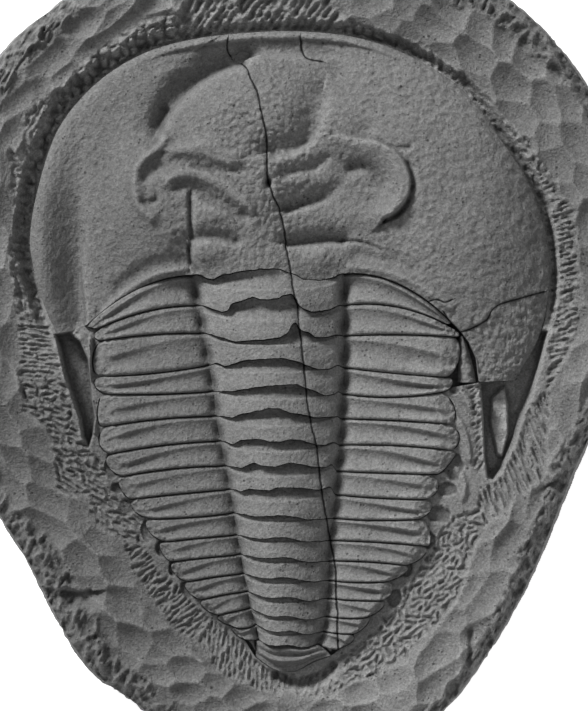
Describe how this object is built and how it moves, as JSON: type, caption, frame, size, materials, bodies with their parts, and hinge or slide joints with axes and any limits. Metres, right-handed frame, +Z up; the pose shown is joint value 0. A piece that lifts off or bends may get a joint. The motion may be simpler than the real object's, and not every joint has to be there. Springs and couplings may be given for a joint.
{
  "type": "cambropallas trilobite fossil on matrix slab",
  "caption": "Large flat trilobite fossil, back up, in a prepared stone slab with a moat, chiselled rim and rough broken edge.",
  "frame": {"origin": "centre of the slab's outline, on the flat underside it rests on", "axes": "+X across the animal, +Y towards its head, +Z up out of the slab"},
  "size_m": [0.2466, 0.3023, 0.0396],
  "materials": {
    "matrix_stone": "dry, chiselled, matt",
    "fossil_stone": "dry, fine grained, matt with a faint sheen on the high places"
  },
  "bodies": {
    "root": {"matrix": "matrix_stone", "cephalon": "fossil_stone", "thoracic_segment_01": "fossil_stone", "thoracic_segment_02": "fossil_stone", "thoracic_segment_03": "fossil_stone", "thoracic_segment_04": "fossil_stone", "thoracic_segment_05": "fossil_stone", "thoracic_segment_06": "fossil_stone", "thoracic_segment_07": "fossil_stone", "thoracic_segment_08": "fossil_stone", "thoracic_segment_09": "fossil_stone", "thoracic_segment_10": "fossil_stone", "thoracic_segment_11": "fossil_stone", "thoracic_segment_12": "fossil_stone", "thoracic_segment_13": "fossil_stone", "thoracic_segment_14": "fossil_stone", "thoracic_segment_15": "fossil_stone", "thoracic_segment_16": "fossil_stone", "pygidium": "fossil_stone"}
  },
  "joints": []
}
